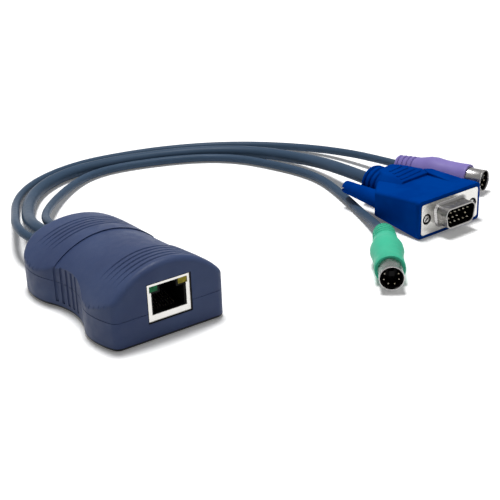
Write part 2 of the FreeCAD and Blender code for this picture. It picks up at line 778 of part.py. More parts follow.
def vga_hood():
    """Overmoulded hood: square front, slanted shoulders and a ringed round neck."""
    made = new_body("vga_hood", VGA_PLACE)
    half = value("hood_width") / 2
    shoulder = value("hood_body") + value("hood_shoulder")
    plan = new_sketch(made, "plan", "XY_Plane", -value("hood_thickness") / 2)
    polygon(plan, [(-half, 0), (half, 0), (half, value("hood_body")),
                   (value("neck_radius") + 0.6, shoulder), (-value("neck_radius") - 0.6, shoulder),
                   (-half, value("hood_body"))])
    feature(made, "Pad", "block", plan, Length="=Sizes.hood_thickness")
    wedges = new_sketch(made, "wedges", "YZ_Plane")
    rise = math.tan(math.radians(value("hood_taper")))
    for side in (-1, 1):
        top = side * value("hood_thickness") / 2
        polygon(wedges, [(value("hood_lip"), top), (shoulder + 1.0, top),
                         (shoulder + 1.0, top - side * rise * (shoulder + 1.0 - value("hood_lip")))])
    tapered = feature(made, "Pocket", "taper_cut", wedges, Midplane=True, Length="=Sizes.hood_width + 2")
    fillet(made, "hood_edges", tapered, "Sizes.hood_edge", lambda edge: edge.BoundBox.YMax > 0.1)
    neck = new_sketch(made, "neck", "XY_Plane")
    start = shoulder - 3.0
    end = shoulder + value("neck_length")
    taper = (value("neck_end_radius") - value("neck_radius")) / (end - start)
    last_ring = end - 2.0
    points = [(0, start), (value("neck_radius"), start)]
    for number in reversed(range(int(value("ring_count")))):
        groove = last_ring - number * value("ring_pitch")
        for at, depth in ((groove - value("ring_width"), 0), (groove - value("ring_width"), 1),
                          (groove, 1), (groove, 0)):
            surface = value("neck_radius") + taper * (at - start)
            points.append((surface - depth * value("ring_depth"), at))
    points += [(value("neck_end_radius"), end), (0, end)]
    polygon(neck, points)
    turned = made.newObject("PartDesign::Revolution", "neck_turn")
    turned.Profile = neck
    turned.ReferenceAxis = (neck, ["V_Axis"])
    turned.Angle = 360.0
    doc.recompute()
    recess = new_sketch(made, "recess", "XZ_Plane")
    rounded_box(recess, value("flange_width"), value("flange_height"), 1.2)
    cut = feature(made, "Pocket", "recess_cut", recess)
    cut.setExpression("Length", "Sizes.flange_thickness - Sizes.flange_proud")
    nest = new_sketch(made, "nest", "XZ_Plane", -FLANGE_BACK)
    rounded_box(nest, value("insulator_width"), value("insulator_height"), 1.0)
    feature(made, "Pocket", "nest_cut", nest, Length="=Sizes.insulator_depth")
    bores = new_sketch(made, "bores", "XZ_Plane")
    wells = new_sketch(made, "wells", "XZ_Plane", -value("grip_start") + value("grip_gap"))
    for x in screw_sides():
        circle(bores, x, 0, value("thread_radius") + value("grip_gap"))
        circle(wells, x, 0, value("grip_radius") + value("grip_gap"))
    feature(made, "Pocket", "bore_cut", bores, Length="=Sizes.grip_start")
    feature(made, "Pocket", "well_cut", wells, Length="=Sizes.hood_body")
    return made


def vga_shell():
    """Stamped flange and D-shaped shell in one sheet, with two clearance holes."""
    made = new_body("vga_shell", VGA_PLACE)
    plate = new_sketch(made, "plate", "XZ_Plane", -FLANGE_BACK)
    rounded_box(plate, value("flange_width"), value("flange_height"), 1.2)
    feature(made, "Pad", "flange", plate, Length="=Sizes.flange_thickness")
    outer = new_sketch(made, "outer", "XZ_Plane", -FLANGE_BACK)
    d_outline(outer, 0.0)
    tube = feature(made, "Pad", "tube", outer)
    tube.setExpression("Length", "Sizes.dshell_reach + Sizes.flange_thickness - Sizes.flange_proud")
    inner = new_sketch(made, "inner", "XZ_Plane", value("dshell_reach"))
    d_outline(inner, value("dshell_sheet"))
    hollow = feature(made, "Pocket", "hollow", inner)
    hollow.setExpression("Length", "Sizes.dshell_reach + Sizes.flange_thickness")
    holes = new_sketch(made, "holes", "XZ_Plane", value("flange_proud"))
    for x in screw_sides():
        circle(holes, x, 0, value("thread_radius") + value("grip_gap"))
    feature(made, "Pocket", "hole_cut", holes, Length="=Sizes.flange_thickness")
    return made


def vga_pin_places():
    """Three rows of five; the middle row steps half a pitch to the left and lacks its fourth pin."""
    places = []
    for line, shift in ((1, 0.0), (0, -0.5), (-1, 0.0)):
        for number in range(5):
            if line == 0 and number == 3:
                continue
            x = (number - 2 + shift) * value("vga_pin_pitch")
            places.append((x, line * value("vga_row_pitch")))
    return places


def vga_insulator():
    made = new_body("vga_insulator", VGA_PLACE)
    block = new_sketch(made, "block", "XZ_Plane", -FLANGE_BACK)
    rounded_box(block, value("insulator_width"), value("insulator_height"), 1.0)
    feature(made, "Pad", "rear", block, Reversed=True, Length="=Sizes.insulator_depth")
    nose = new_sketch(made, "nose", "XZ_Plane", -FLANGE_BACK)
    d_outline(nose, value("dshell_sheet"))
    feature(made, "Pad", "front", nose, Length="=Sizes.insulator_nose")
    bores = new_sketch(made, "bores", "XZ_Plane", value("insulator_nose") - FLANGE_BACK)
    for x, z in vga_pin_places():
        circle(bores, x, z, value("vga_pin_radius"))
    feature(made, "Pocket", "pin_bores", bores, Length="=Sizes.insulator_depth")
    return made


def pin(place, low, high, radius):
    """A contact pin along -Y with a coned tip."""
    x, z = place
    shaft = Part.makeCylinder(radius, high - low - radius, Vector(x, high, z), Vector(0, -1, 0))
    tip = Part.makeCone(radius, radius * 0.4, radius, Vector(x, low + radius, z), Vector(0, -1, 0))
    return shaft.fuse(tip)


def vga_pins():
    deep = FLANGE_BACK - value("insulator_nose") + value("insulator_depth")
    pins = [pin(place, -value("vga_pin_reach"), deep, value("vga_pin_radius"))
            for place in vga_pin_places()]
    return plain("vga_pins", Part.makeCompound(pins), VGA_PLACE)


def thumbscrew(side_name, side):
    """A steel jackscrew and the tapered plastic grip moulded on its rear."""
    place = VGA_PLACE.multiply(Placement(Vector(side * value("screw_span") / 2, 0, 0), Rotation()))
    shaft = new_body(f"thumbscrew_{side_name}_shaft", place)
    rod = new_sketch(shaft, "rod", "XY_Plane")
    tip = -value("thread_tip")
    end = value("grip_start") + value("shaft_in_grip")
    radius = value("thread_radius")
    polygon(rod, [(0, tip), (radius - 0.4, tip), (radius, tip + 0.4), (radius, end), (0, end)])
    turned = shaft.newObject("PartDesign::Revolution", "rod_turn")
    turned.Profile = rod
    turned.ReferenceAxis = (rod, ["V_Axis"])
    doc.recompute()
    slot = new_sketch(shaft, "slot", "XZ_Plane", value("thread_tip"))
    rectangle(slot, -radius - 0.2, -0.25, radius + 0.2, 0.25)
    feature(shaft, "Pocket", "slot_cut", slot, Length=0.6)

    grip = new_body(f"thumbscrew_{side_name}_grip", place)
    start, stop = value("grip_start"), value("grip_end")
    body = new_sketch(grip, "body", "XY_Plane")
    polygon(body, [(0, end), (radius, end), (radius, start), (value("grip_radius"), start),
                   (value("grip_radius"), start + 6.0), (value("grip_end_radius"), stop - 0.8),
                   (value("grip_end_radius") - 0.8, stop), (0, stop)])
    turned = grip.newObject("PartDesign::Revolution", "body_turn")
    turned.Profile = body
    turned.ReferenceAxis = (body, ["V_Axis"])
    doc.recompute()
    groove = new_sketch(grip, "groove", "XZ_Plane", -stop)
    rectangle(groove, -4.0, -0.6, 4.0, 0.6)
    feature(grip, "Pocket", "groove_cut", groove, Reversed=True, Length="=Sizes.grip_slot")
    return [shaft, grip]


# ---------------------------------------------------------------- PS/2 plugs
def din_pin_places():
    """Six pins on a circle, in three pairs either side of the foot of the ring."""
    places = []
    for degrees in (24.0, 72.0, 118.0):
        for side in (-1, 1):
            turn = math.radians(degrees)
            places.append((side * value("din_pin_circle") * math.sin(turn),
                           -value("din_pin_circle") * math.cos(turn)))
    return places


def din_plug(name, place):
    """One plug, its shell pointing along its own -Y, with the boot's front face at y = 0."""
    boot = new_body(f"{name}_boot", place)
    profile = new_sketch(boot, "profile", "XY_Plane")
    length = value("boot_length")
    outer = value("din_radius")
    rings = length - value("boot_ring_zone")
    buried = outer - value("boot_seat_step")
    points = [(0, value("din_seat")), (buried, value("din_seat")), (buried, 0),
              (value("boot_radius") - 0.4, 0),
              (value("boot_radius"), 0.4), (value("boot_radius"), 9.0),
              (value("boot_grip_radius"), 12.0), (value("boot_grip_radius"), rings - 5.0),
              (value("boot_rear_radius") + 0.5, rings)]
    pitch = value("boot_ring_zone") / (value("ring_count") + 0.5)
    for number in range(int(value("ring_count"))):
        low = rings + 0.7 + number * pitch
        high = low + pitch * 0.4
        surface = value("boot_rear_radius") + 0.5 - number * 0.12
        points += [(surface, low), (surface - value("ring_depth"), low),
                   (surface - value("ring_depth"), high), (surface - 0.05, high)]
    points += [(value("boot_rear_radius") - 0.2, length - 1.0), (value("boot_rear_radius") - 1.0, length),
               (0, length)]
    polygon(profile, points)
    turned = boot.newObject("PartDesign::Revolution", "turn")
    turned.Profile = profile
    turned.ReferenceAxis = (profile, ["V_Axis"])
    doc.recompute()
    wings = new_sketch(boot, "wings", "XY_Plane", -value("wing_thickness") / 2)
    half = value("wing_half")
    rounded(wings, [(-half, 12.5), (half, 12.5), (half, rings - 4.0), (-half, rings - 4.0)], 2.6)
    feature(boot, "Pad", "wing_pad", wings, Length="=Sizes.wing_thickness")

    shell = new_body(f"{name}_shell", place)
    ring = new_sketch(shell, "ring", "XY_Plane")
    bore = buried - value("din_sheet")
    step = -value("boot_undercut")
    polygon(ring, [(bore, -value("din_reach")), (outer, -value("din_reach")), (outer, step),
                   (buried, step), (buried, value("din_seat")), (bore, value("din_seat"))])
    turned = shell.newObject("PartDesign::Revolution", "turn")
    turned.Profile = ring
    turned.ReferenceAxis = (ring, ["V_Axis"])
    doc.recompute()

    insulator = new_body(f"{name}_insulator", place)
    disc = new_sketch(insulator, "disc", "XZ_Plane", -value("din_seat"))
    circle(disc, 0, 0, bore)
    base = feature(insulator, "Pad", "base", disc)
    base.setExpression("Length", "Sizes.din_seat + Sizes.din_base_proud")
    key = new_sketch(insulator, "key", "XZ_Plane")
    rectangle(key, -value("din_key") / 2, 0.6, value("din_key") / 2, 0.6 + value("din_key"))
    feature(insulator, "Pad", "key_pad", key, Length="=Sizes.din_reach - 0.8")
    bores = new_sketch(insulator, "bores", "XZ_Plane", value("din_base_proud"))
    for x, z in din_pin_places():
        circle(bores, x, z, value("din_pin_radius"))
    feature(insulator, "Pocket", "pin_bores", bores, Length="=Sizes.din_seat")

    deep = value("din_seat") - value("din_base_proud")
    pins = [pin(spot, 1.2 - value("din_reach"), deep, value("din_pin_radius"))
            for spot in din_pin_places()]
    return [boot, shell, insulator, plain(f"{name}_pins", Part.makeCompound(pins), place)]


def aimed(x, station, turn):
    """Where a PS/2 plug lies: its boot's front centre, and its turn from facing -Y."""
    return Placement(Vector(x, row(station), value("boot_grip_radius")), Rotation(UP, turn))


KEYBOARD_PLACE = aimed(value("keyboard_x"), value("keyboard_from_front"), value("keyboard_turn"))
MOUSE_PLACE = aimed(value("mouse_x"), value("mouse_from_front"), value("mouse_turn"))


# ---------------------------------------------------------------- cables
def cable_exit(number):
    """Where a cable leaves the gland: number -1, 0 or 1 from the left."""
    return Vector(value("gland_x") + number * value("cable_spacing"), GLAND_FACE, value("gland_height"))


HOOD_END = value("hood_body") + value("hood_shoulder") + value("neck_length")
VIDEO_ROUTE = [
    cable_exit(0),
    Vector(-4.7, 50.2, 11.65),
    Vector(-2.3, 60.8, 8.8),
    Vector(3.7, 75.6, 6.0),
    Vector(10.1, 91.9, 4.0),
    Vector(18.6, 106.2, 3.1),
    Vector(30.5, 116.2, 2.8),
    Vector(43.6, 121.7, 2.75),
    Vector(57.8, 122.1, 2.75),
    Vector(74.0, 118.9, 2.75),
    Vector(90.2, 113.6, 2.75),
    Vector(105.2, 105.9, 2.75),
    Vector(117.8, 95.6, 2.8),
    Vector(126.6, 82.7, 3.0),
    Vector(130.7, 67.5, 3.8),
    Vector(131.6, 51.0, 5.8),
    Vector(128.7, 31.5, 8.2),
    VGA_PLACE.multVec(Vector(0, HOOD_END, 0)),
]
KEYBOARD_ROUTE = [
    cable_exit(-1),
    Vector(-10.7, 49.9, 11.6),
    Vector(-10.1, 59.6, 9.2),
    Vector(-4.6, 70.4, 7.2),
    Vector(0.3, 83.5, 5.2),
    Vector(6.5, 97.9, 3.4),
    Vector(15.4, 112.4, 2.3),
    Vector(28.3, 123.5, 1.9),
    Vector(43.5, 129.6, 1.9),
    Vector(59.2, 131.3, 1.9),
    Vector(76.2, 128.4, 1.9),
    Vector(92.8, 123.8, 1.9),
    Vector(109.0, 116.1, 1.9),
    Vector(123.9, 105.8, 1.9),
    Vector(136.5, 93.1, 1.9),
    Vector(146.3, 78.8, 2.1),
    Vector(151.3, 63.0, 3.3),
    Vector(152.8, 46.8, 5.0),
    KEYBOARD_PLACE.multVec(Vector(0, value("boot_length"), 0)),
]
MOUSE_ROUTE = [
    cable_exit(1),
    Vector(0.5, 50.2, 11.65),
    Vector(3.9, 61.3, 8.8),
    Vector(11.8, 75.5, 6.0),
    Vector(22.4, 91.0, 3.8),
    Vector(35.3, 105.1, 2.4),
    Vector(49.1, 115.2, 1.95),
    Vector(63.5, 116.2, 1.95),
    Vector(78.5, 112.2, 1.95),
    Vector(93.2, 106.4, 1.95),
    Vector(106.3, 98.0, 1.95),
    Vector(115.3, 86.1, 1.95),
    Vector(120.0, 72.6, 1.95),
    Vector(124.1, 58.8, 1.95),
    Vector(125.2, 44.8, 1.95),
    Vector(122.1, 31.0, 1.95),
    Vector(117.4, 16.2, 1.95),
    Vector(113.0, 3.6, 2.0),
    Vector(108.7, -8.3, 2.8),
    Vector(104.2, -17.6, 4.4),
    MOUSE_PLACE.multVec(Vector(0, value("boot_length"), 0)),
]


def cable(label, route, diameter):
    """A round tube along straight runs joined by tangent arcs."""
    edges = []
    start = route[0]
    radii = []
    for before, corner, after in zip(route, route[1:], route[2:]):
        back = before - corner
        ahead = after - corner
        trim = 0.45 * min(back.Length, ahead.Length)
        turn = math.pi - back.getAngle(ahead)
        radius = trim / math.tan(turn / 2)
        radii.append(radius)
        arc_start = corner + back.normalize() * trim
        arc_end = corner + ahead.normalize() * trim
        inward = (back + ahead).normalize()
        middle = corner + inward * (radius / math.cos(turn / 2) - radius)
        edges.append(Part.LineSegment(start, arc_start).toShape())
        edges.append(Part.Arc(arc_start, middle, arc_end).toShape())
        start = arc_end
    edges.append(Part.LineSegment(start, route[-1]).toShape())
    path = Part.Wire(edges)
    section = Part.Wire([Part.Circle(route[0], route[1] - route[0], diameter / 2).toShape()])
    tube = path.makePipeShell([section], True, False)
    expected = math.pi * diameter ** 2 / 4 * path.Length
    print(f"{label}: length {path.Length:.1f} mm, least radius {min(radii):.1f} mm, "
          f"volume {tube.Volume / expected:.4f} of section times length")
    print("  radii " + " ".join(f"{radius:.0f}" for radius in radii))
    return plain(label, tube)


case_bottom = housing_bottom()
case_top = housing_top()
nodes = [case_bottom, case_top]
nodes += [jack_shield(), jack_housing(), contacts()]
nodes += [light_pipe("led_green", -1), light_pipe("led_yellow", 1)]
nodes += [circuit_board()]
nodes += [chip("controller_chip", 0.0, 34.0, 12.0, 12.0, 1.4, 11)]
nodes += [chip("interface_chip", -9.0, value("board_rear") - 14.5, 4.0, 5.0, 1.2, 4)]
nodes += [chip("memory_chip", 9.0, value("board_rear") - 14.0, 4.0, 5.0, 1.2, 4)]
nodes += [crystal(), capacitors(), case_screws(), cable_gland()]
nodes += [wire_header("video_header", 0.0, 7), wire_header("keyboard_header", -9.6, 4),
          wire_header("mouse_header", 9.6, 4)]
nodes += [vga_hood(), vga_shell(), vga_insulator(), vga_pins()]
nodes += thumbscrew("left", -1) + thumbscrew("right", 1)
nodes += din_plug("keyboard", KEYBOARD_PLACE) + din_plug("mouse", MOUSE_PLACE)
nodes += [cable("video_cable", VIDEO_ROUTE, value("video_diameter"))]
nodes += [cable("keyboard_cable", KEYBOARD_ROUTE, value("thin_diameter"))]
nodes += [cable("mouse_cable", MOUSE_ROUTE, value("thin_diameter"))]


def check_and_write(nodes):
    """Stop on any failed object or invalid solid, then write one STEP file for each node."""
    doc.recompute()
    for item in doc.Objects:
        if "Invalid" in item.State or "Error" in item.State:
            raise RuntimeError(f"{item.Label} failed: {item.State}")
    os.makedirs("parts", exist_ok=True)
    for node in nodes:
        shape = node.Shape
        if shape.isNull() or not shape.isValid():
            raise RuntimeError(f"{node.Label} has no valid shape")
        print(f"{node.Label}: {len(shape.Solids)} solids, {shape.Volume:.1f} mm3, {shape.BoundBox}")
        shape.exportStep(f"parts/{node.Label}.step")


check_and_write(nodes)
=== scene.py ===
# A waisted signal module with three plug-ended cables, dressed for its looks. Metres, in the
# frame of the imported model: the housing lies along Y, its socket faces -Y, and +Z is up.
import bmesh
import bpy
import math
from mathutils import Matrix, Vector


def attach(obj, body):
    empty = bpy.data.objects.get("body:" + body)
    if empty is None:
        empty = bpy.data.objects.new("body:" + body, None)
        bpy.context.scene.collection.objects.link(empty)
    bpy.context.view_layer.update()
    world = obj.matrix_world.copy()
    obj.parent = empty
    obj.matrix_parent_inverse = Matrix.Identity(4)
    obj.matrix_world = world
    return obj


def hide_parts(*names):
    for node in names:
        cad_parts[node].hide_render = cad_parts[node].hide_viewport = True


bpy.ops.wm.read_factory_settings(use_empty=True)
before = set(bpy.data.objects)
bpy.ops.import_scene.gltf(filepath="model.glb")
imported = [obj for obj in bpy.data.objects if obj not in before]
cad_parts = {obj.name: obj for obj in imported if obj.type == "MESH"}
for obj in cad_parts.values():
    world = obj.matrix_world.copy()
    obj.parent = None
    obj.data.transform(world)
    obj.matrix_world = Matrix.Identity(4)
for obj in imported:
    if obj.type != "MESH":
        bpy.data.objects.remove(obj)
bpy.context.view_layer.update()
MM = 0.001


# ---------------------------------------------------------------- camera
# A long lens looks down on the socket end from the left.
lens = bpy.data.cameras.new("camera")
lens.lens = 85.03
lens.sensor_width = 36.0
lens.clip_start = 0.01
camera = bpy.data.objects.new("camera", lens)
bpy.context.scene.collection.objects.link(camera)
bpy.context.scene.camera = camera
standpoint = (-0.17279, -0.33288, 0.17945)
swing = math.radians(-34.519)
height = math.radians(23.65)
roll = math.radians(-2.316)
back = Vector((math.sin(swing) * math.cos(height), -math.cos(swing) * math.cos(height), math.sin(height)))
side = (-back).cross(Vector((0, 0, 1))).normalized()
upright = side.cross(-back)
right = side * math.cos(roll) + upright * math.sin(roll)
above = upright * math.cos(roll) - side * math.sin(roll)
camera.matrix_world = Matrix.Translation(standpoint) @ Matrix((right, above, back)).transposed().to_4x4()


# ---------------------------------------------------------------- materials
# Every finish is worked out from Object coordinates, so it stays on its piece in every view. The
# scales are in waves per metre. Vinyl, plated sheet and nylon serve several pieces.
class Signal:
    """A value on its way between shader nodes, with ordinary arithmetic."""

    def __init__(self, tree, socket):
        self.tree = tree
        self.socket = socket

    def maths(self, operation, first, second):
        """A Math node between two signals or numbers."""
        node = self.tree.nodes.new("ShaderNodeMath")
        node.operation = operation
        for number, value in enumerate((first, second)):
            if isinstance(value, Signal):
                self.tree.links.new(value.socket, node.inputs[number])
            else:
                node.inputs[number].default_value = value
        return Signal(self.tree, node.outputs[0])

    def __add__(self, other):
        return self.maths("ADD", self, other)

    def __rsub__(self, other):
        return self.maths("SUBTRACT", other, self)

    def __mul__(self, other):
        return self.maths("MULTIPLY", self, other)


class Finish:
    """One material: a Principled shader with its pattern worked out from Object coordinates."""

    def __init__(self, name, roughness, metallic=0.0, **fixed):
        self.material = bpy.data.materials.new(name)
        self.material.use_nodes = True
        self.tree = self.material.node_tree
        self.shader = self.tree.nodes["Principled BSDF"]
        self.shader.inputs["Metallic"].default_value = metallic
        self.shader.inputs["Roughness"].default_value = roughness
        for socket, value in fixed.items():
            self.shader.inputs[socket.replace("_", " ")].default_value = value
        self.place = self.add("TexCoord", output="Object")

    def add(self, kind, settings=None, output=0, **values):
        """A node with its settings and inputs; an input is named, or numbered as i0, i1 and so on."""
        node = self.tree.nodes.new("ShaderNode" + kind)
        for name, value in (settings or {}).items():
            setattr(node, name, value)
        for name, value in values.items():
            socket = node.inputs[int(name[1:])] if name[1:].isdigit() else node.inputs[name]
            if isinstance(value, Signal):
                self.tree.links.new(value.socket, socket)
            else:
                socket.default_value = value
        return Signal(self.tree, node.outputs[output])

    def noise(self, scale, detail=3.0):
        return self.add("TexNoise", Vector=self.place, Scale=scale, Detail=detail)

    def stretched_noise(self, scale, stretch):
        spread = self.add("Mapping", Vector=self.place, Scale=stretch)
        return self.add("TexNoise", Vector=spread, Scale=scale, Detail=2.0)

    def window(self, signal, low, high, start=0.0, end=1.0):
        """From start to end, smoothly, as the signal goes from low to high."""
        return self.add("MapRange", {"clamp": True, "interpolation_type": "SMOOTHSTEP"},
                        i0=signal, i1=low, i2=high, i3=start, i4=end)

    def mix(self, factor, first, second):
        return self.add("Mix", {"data_type": "RGBA"}, output=2, i0=factor, i6=first, i7=second)

    def colour(self, signal):
        self.feed("Base Color", signal)

    def feed(self, name, signal):
        self.tree.links.new(signal.socket, self.shader.inputs[name])

    def bump(self, height, distance, strength):
        self.feed("Normal", self.add("Bump", Height=height, Distance=distance, Strength=strength))


def shade(hexa, gain=1.0):
    """A colour written in sRGB, as linear values."""
    parts = [int(hexa[i:i + 2], 16) / 255 for i in (0, 2, 4)]
    linear = [c / 12.92 if c <= 0.04045 else ((c + 0.055) / 1.055) ** 2.4 for c in parts]
    return (*[c * gain for c in linear], 1.0)


def vinyl(name, base, dark, pale, roughness=0.42, gloss=0.1, handled=1.0):
    """Soft moulded vinyl: slightly clouded colour, a fine skin texture and finger marks."""
    finish = Finish(name, roughness, Specular_IOR_Level=gloss)
    cloud = finish.noise(70.0, 3.0)
    grain = finish.noise(2600.0, 2.0)
    tone = finish.mix(finish.window(cloud, 0.35, 0.65), shade(dark), shade(base))
    finish.colour(finish.mix(finish.window(grain, 0.55, 0.8, 0.0, 0.35), tone, shade(pale)))
    marks = finish.noise(320.0, 4.0)
    finish.feed("Roughness", finish.window(marks, 0.3, 0.7, roughness - 0.07 * handled,
                                          roughness + 0.1 * handled))
    finish.bump(grain, 0.00002, 0.5)
    return finish.material


def plated(name, base, roughness, scale=900.0, relief=0.4):
    """Bright plated sheet: drawn grain, faint clouds and handling marks."""
    finish = Finish(name, roughness, metallic=1.0)
    drawn = finish.stretched_noise(scale, (1.0, 1.0, 8.0))
    cloud = finish.noise(180.0, 3.0)
    finish.colour(finish.mix(finish.window(cloud, 0.3, 0.7), shade(base, 0.96), shade(base)))
    finish.feed("Roughness", finish.window(drawn, 0.25, 0.75, roughness - 0.04, roughness + 0.05))
    finish.bump(drawn, 0.000003, relief)
    return finish.material


def nylon(name, base, pale, roughness=0.4):
    """Moulded nylon with a faint flow pattern."""
    finish = Finish(name, roughness, Specular_IOR_Level=0.08)
    flow = finish.noise(600.0, 3.0)
    finish.colour(finish.mix(finish.window(flow, 0.35, 0.75), shade(base), shade(pale)))
    finish.feed("Roughness", finish.window(flow, 0.3, 0.7, roughness - 0.06, roughness + 0.1))
    finish.bump(flow, 0.00003, 0.5)
    return finish.material


# ---------------------------------------------------------------- shapes
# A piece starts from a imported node's own mesh or from outlines in millimetres, becomes an object at
# the origin, and rides on the body that carries it.
def in_mm(points):
    """Points written in millimetres, as vectors in metres."""
    return [Vector(point) * MM for point in points]


def merged(node):
    """A copy of a node's mesh with its doubles merged."""
    form = bmesh.new()
    form.from_mesh(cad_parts[node].data)
    bmesh.ops.remove_doubles(form, verts=form.verts, dist=1e-6)
    return form


def smoothed(form, crease=38.0):
    """Curved faces shaded smooth, with every edge above the crease angle kept sharp."""
    form.normal_update()
    for face in form.faces:
        face.smooth = True
    for edge in form.edges:
        edge.smooth = len(edge.link_faces) == 2 and edge.calc_face_angle(0.0) < math.radians(crease)
    return form


def piece(name, form, material, body="module", replaced=(), place=Matrix.Identity(4)):
    """A bmesh as an object at the origin, riding on its body."""
    bmesh.ops.transform(form, matrix=place, verts=form.verts)
    mesh = bpy.data.meshes.new(name)
    form.to_mesh(mesh)
    form.free()
    mesh.materials.append(material)
    made = bpy.data.objects.new(name, mesh)
    bpy.context.scene.collection.objects.link(made)
    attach(made, body)
    if replaced:
        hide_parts(*replaced)
    return made


def dressed(node, material, body="module"):
    """A node's own shape, merged and shaded smooth."""
    return piece(node + "_dressed", smoothed(merged(node)), material, body, replaced=[node])


def slab(form, base, top, edge=0.0):
    """A closed block between two outlines of as many corners, its edges rounded over."""
    low, high = [[form.verts.new(corner) for corner in in_mm(ring)] for ring in (base, top)]
    faces = [form.faces.new(low), form.faces.new(high)]
    for number in range(len(low)):
        after = (number + 1) % len(low)
        faces.append(form.faces.new((low[number], low[after], high[after], high[number])))
    bmesh.ops.recalc_face_normals(form, faces=faces)
    if edge:
        bmesh.ops.bevel(form, geom=list({line for face in faces for line in face.edges}), offset=edge * MM,
                        affect="EDGES", segments=3, profile=0.5, material=-1, clamp_overlap=True)
    return form


def turned(form, outline, segments=64):
    """A form turned about the local Y axis. Its outline of (radius, y) points starts and ends on the
    axis, or closes on its own first point."""
    points = [form.verts.new(Vector((radius, along, 0)) * MM) for radius, along in outline]
    edges = [form.edges.new(pair) for pair in zip(points, points[1:])]
    bmesh.ops.spin(form, geom=points + edges, axis=(0, 1, 0), cent=(0, 0, 0), angle=math.tau,
                   steps=segments, use_merge=True, use_duplicate=False)
    bmesh.ops.remove_doubles(form, verts=form.verts, dist=1e-6)
    bmesh.ops.recalc_face_normals(form, faces=form.faces)
    return form


# ---------------------------------------------------------------- cables
# Three soft vinyl-jacketed leads: a thick one for the screen and two thin ones for the keyboard
# and the mouse. They leave the gland together, swing round to the right and lie on the ground.
cable_vinyl = vinyl("cable_vinyl", "3A4C61", "37495D", "405269", roughness=0.4, gloss=0.08, handled=0.3)


def cable(name, radius, points):
    """A lead as a smooth spline, with its route's points as control points."""
    line = bpy.data.curves.new(name, "CURVE")
    line.dimensions = "3D"
    spline = line.splines.new("NURBS")
    spline.points.add(len(points) - 1)
    for point, place in zip(spline.points, points):
        point.co = (*[c * MM for c in place], 1.0)
    spline.use_endpoint_u = True
    spline.order_u = 4
    spline.resolution_u = 20
    line.bevel_depth = radius * MM
    line.bevel_resolution = 7
    line.use_fill_caps = True
    lead = bpy.data.objects.new(name, line)
    bpy.context.scene.collection.objects.link(lead)
    lead.data.materials.append(cable_vinyl)
    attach(lead, "module")
    return lead


video_route = [
    (-4.9, 40.0, 12.0), (-5.7, 49.0, 12.0), (-3.9, 60.0, 10.2), (1.6, 74.5, 7.2), (9.0, 91.0, 4.4),
    (18.6, 106.2, 3.1), (30.5, 116.2, 2.8), (43.6, 121.7, 2.75), (57.8, 122.1, 2.75),
    (74.0, 118.9, 2.75), (90.2, 113.6, 2.75), (105.2, 105.9, 2.75), (117.8, 95.6, 2.8),
    (126.6, 82.7, 3.0), (130.7, 67.5, 3.8), (131.6, 51.0, 5.8), (128.7, 31.5, 8.2),
    (128.6, 14.36, 8.33),
]
keyboard_route = [
    (-10.8, 40.0, 12.0), (-12.3, 47.0, 12.1), (-11.2, 55.0, 12.0), (-8.4, 64.0, 10.8), (-4.2, 73.5, 8.8),
    (0.4, 84.0, 6.3), (6.5, 97.9, 3.7), (15.4, 112.4, 2.3), (28.3, 123.5, 1.9), (43.5, 129.6, 1.9),
    (59.2, 131.3, 1.9), (76.2, 128.4, 1.9), (92.8, 123.8, 1.9), (109.0, 116.1, 1.9), (123.9, 105.8, 1.9),
    (136.5, 93.1, 1.9), (146.3, 78.8, 2.1), (151.3, 63.0, 3.3), (152.8, 46.8, 5.0), (155.03, 28.25, 5.6),
]
mouse_route = [
    (0.6, 40.0, 12.0), (0.1, 49.3, 12.0), (2.4, 60.2, 9.8), (9.3, 75.0, 6.6), (20.4, 91.0, 3.8),
    (34.5, 105.1, 2.4), (49.1, 115.2, 1.95), (63.5, 116.2, 1.95), (78.5, 112.2, 1.95),
    (93.2, 106.4, 1.95), (106.3, 98.0, 1.95), (115.3, 86.1, 1.95), (120.0, 72.6, 1.95),
    (124.1, 58.8, 1.95), (125.2, 44.8, 1.95), (122.1, 31.0, 1.95), (117.4, 16.2, 1.95),
    (113.0, 3.6, 2.0), (108.7, -8.3, 2.8), (104.2, -17.6, 4.4), (100.30, -24.93, 5.6),
]
thick_radius = 2.65
thin_radius = 1.7
video_lead = cable("video_lead", thick_radius, video_route)
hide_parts("video_cable")
keyboard_lead = cable("keyboard_lead", thin_radius, keyboard_route)
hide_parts("keyboard_cable")
mouse_lead = cable("mouse_lead", thin_radius, mouse_route)
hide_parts("mouse_cable")


# ---------------------------------------------------------------- housing
# Two clipped and screwed shells of moulded plastic with a fine spark-eroded skin. Grip ribs cross
# the front and rear of the vault, and each waist has five upright finger grooves.
def case_plastic():
    """Moulded plastic with a fine spark-eroded skin, and a painted contact shadow: black over the lowest
    millimetre.
    """
    finish = Finish("case_plastic", 0.5, Specular_IOR_Level=0.18)
    cloud = finish.noise(45.0, 3.0)
    grain = finish.noise(3800.0, 2.0)
    tone = finish.mix(finish.window(cloud, 0.35, 0.65), shade("313E60"), shade("384668"))
    tone = finish.mix(finish.window(grain, 0.55, 0.85, 0.0, 0.4), tone, shade("46547A"))
    # Painted shadow: the lowest millimetre goes near black, standing for the contact shade under the
    # housing.
    height = finish.add("SeparateXYZ", output="Z", Vector=finish.place)
    finish.colour(finish.mix(finish.window(height, 1.0 * MM, 1.25 * MM), shade("0C0E12"), tone))
    marks = finish.noise(260.0, 4.0)
    finish.feed("Roughness", finish.window(marks, 0.3, 0.7, 0.42, 0.56))
    finish.bump(grain, 0.00005, 0.7)
    return finish.material


case_blue = case_plastic()
parting = 10.15 * MM
seam_reach = 0.16 * MM
seam_depth = 0.16 * MM
rib_depth = 0.55 * MM
rib_kept = 0.8
rib_lean = 0.3 * MM
rib_fade_from = 17.5 * MM
rib_fade_over = 8.0 * MM
rib_pitch = 2.64
case_front = -35.0
rib_rows = [(at + rib_pitch * number + case_front) * MM for at in (3.8, 50.2) for number in range(5)]


